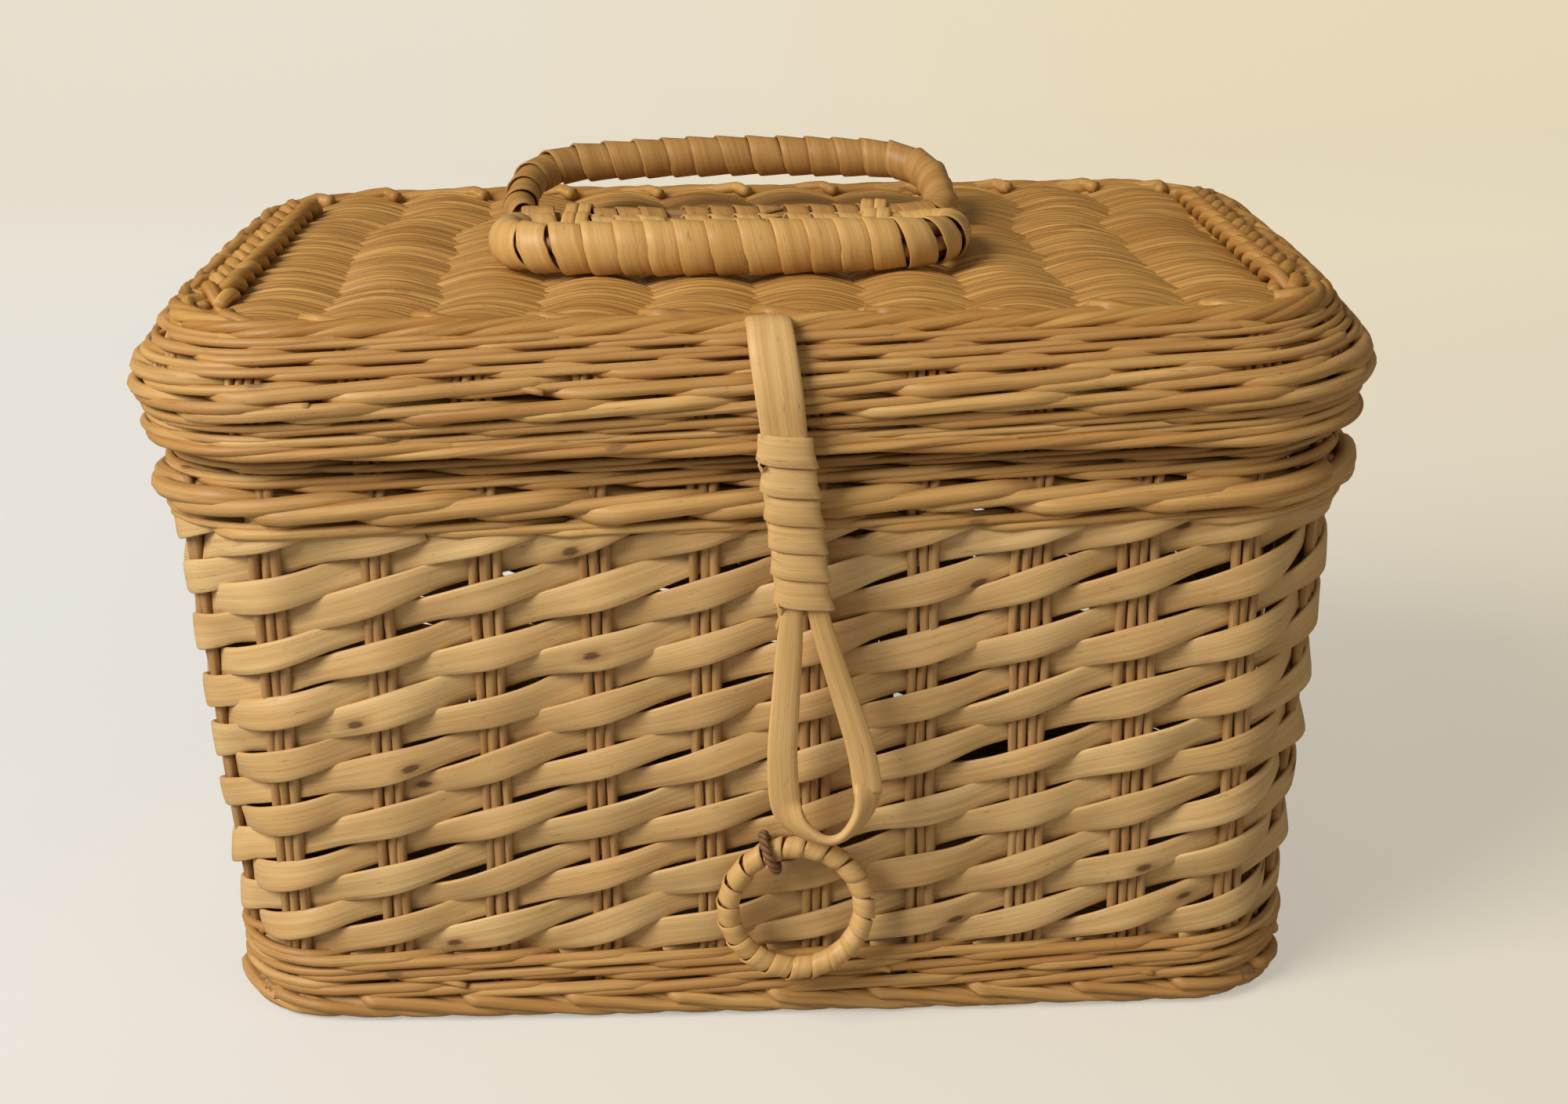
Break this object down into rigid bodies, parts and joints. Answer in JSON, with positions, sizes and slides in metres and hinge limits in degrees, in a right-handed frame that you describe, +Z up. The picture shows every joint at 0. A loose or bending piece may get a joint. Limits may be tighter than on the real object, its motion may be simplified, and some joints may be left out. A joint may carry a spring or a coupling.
{
  "type": "lidded rattan basket",
  "caption": "Oblong woven hamper with a hinged lid, two folding wrapped handles, a hanging loop latch and a ring on the front.",
  "frame": {"origin": "centre of the basket's box, on the surface it stands on", "axes": "+X along the basket to the right as seen from the latch side, +Y from the latch side to the hinge side, +Z up"},
  "size_m": [0.4002, 0.2571, 0.2726],
  "materials": {
    "wale_rod": "satin round peeled rods, mid tan",
    "stake_cane": "satin round canes, tan",
    "wall_skein": "smooth flat skeins, pale straw with knots",
    "lid_rod": "satin fine rods, golden orange",
    "cane_wrap": "glossy flat cane, golden",
    "core_rod": "matt rods inside the wrapping",
    "latch_cane": "glossy split cane, pale golden",
    "tie_cane": "matt twisted cane ties, brown"
  },
  "bodies": {
    "basket": {"foot_border": "wale_rod", "base_sticks": "stake_cane", "base_weave": "lid_rod", "bottom_wale": "wale_rod", "wall_weave": "wall_skein", "front_stakes": "stake_cane", "back_stakes": "stake_cane", "left_stakes": "stake_cane", "right_stakes": "stake_cane", "top_wale": "wale_rod", "body_rim": "wale_rod", "hinge_loop_left": "tie_cane", "hinge_loop_right": "tie_cane", "ring_lashing": "tie_cane"},
    "lid": {"lid_rim": "wale_rod", "lid_skirt": "wale_rod", "lid_border": "lid_rod", "lid_sticks": "stake_cane", "lid_weave": "lid_rod", "lid_side_braid_left": "lid_rod", "lid_side_braid_right": "lid_rod", "front_handle_lashing_left": "tie_cane", "front_handle_lashing_right": "tie_cane", "rear_handle_lashing_left": "tie_cane", "rear_handle_lashing_right": "tie_cane", "latch_tab": "latch_cane"},
    "front_handle": {"front_handle_core": "core_rod", "front_handle_wrap": "cane_wrap"},
    "rear_handle": {"rear_handle_core": "core_rod", "rear_handle_wrap": "cane_wrap"},
    "latch": {"latch_strap": "latch_cane", "latch_binding": "cane_wrap"},
    "ring": {"ring_core": "core_rod", "ring_wrap": "cane_wrap"}
  },
  "joints": [
    {"name": "lid_hinge", "type": "hinge", "parent": "basket", "child": "lid", "pos_m": [0, 0.11936, 0.2076], "axis": [-1, 0, 0], "range_deg": [0, 110]},
    {"name": "front_handle_hinge", "type": "hinge", "parent": "lid", "child": "front_handle", "pos_m": [-0.007, -0.003, 0.2513], "axis": [-1, 0, 0], "range_deg": [0, 82]},
    {"name": "rear_handle_hinge", "type": "hinge", "parent": "lid", "child": "rear_handle", "pos_m": [-0.007, 0.013, 0.2513], "axis": [1, 0, 0], "range_deg": [0, 72]},
    {"name": "latch_hinge", "type": "hinge", "parent": "lid", "child": "latch", "pos_m": [0.0065, -0.1204, 0.24], "axis": [-1, 0, 0], "range_deg": [0, 120]},
    {"name": "ring_hinge", "type": "hinge", "parent": "basket", "child": "ring", "pos_m": [0.00221, -0.1146, 0.06727], "axis": [-1, 0, 0], "range_deg": [0, 80]}
  ]
}
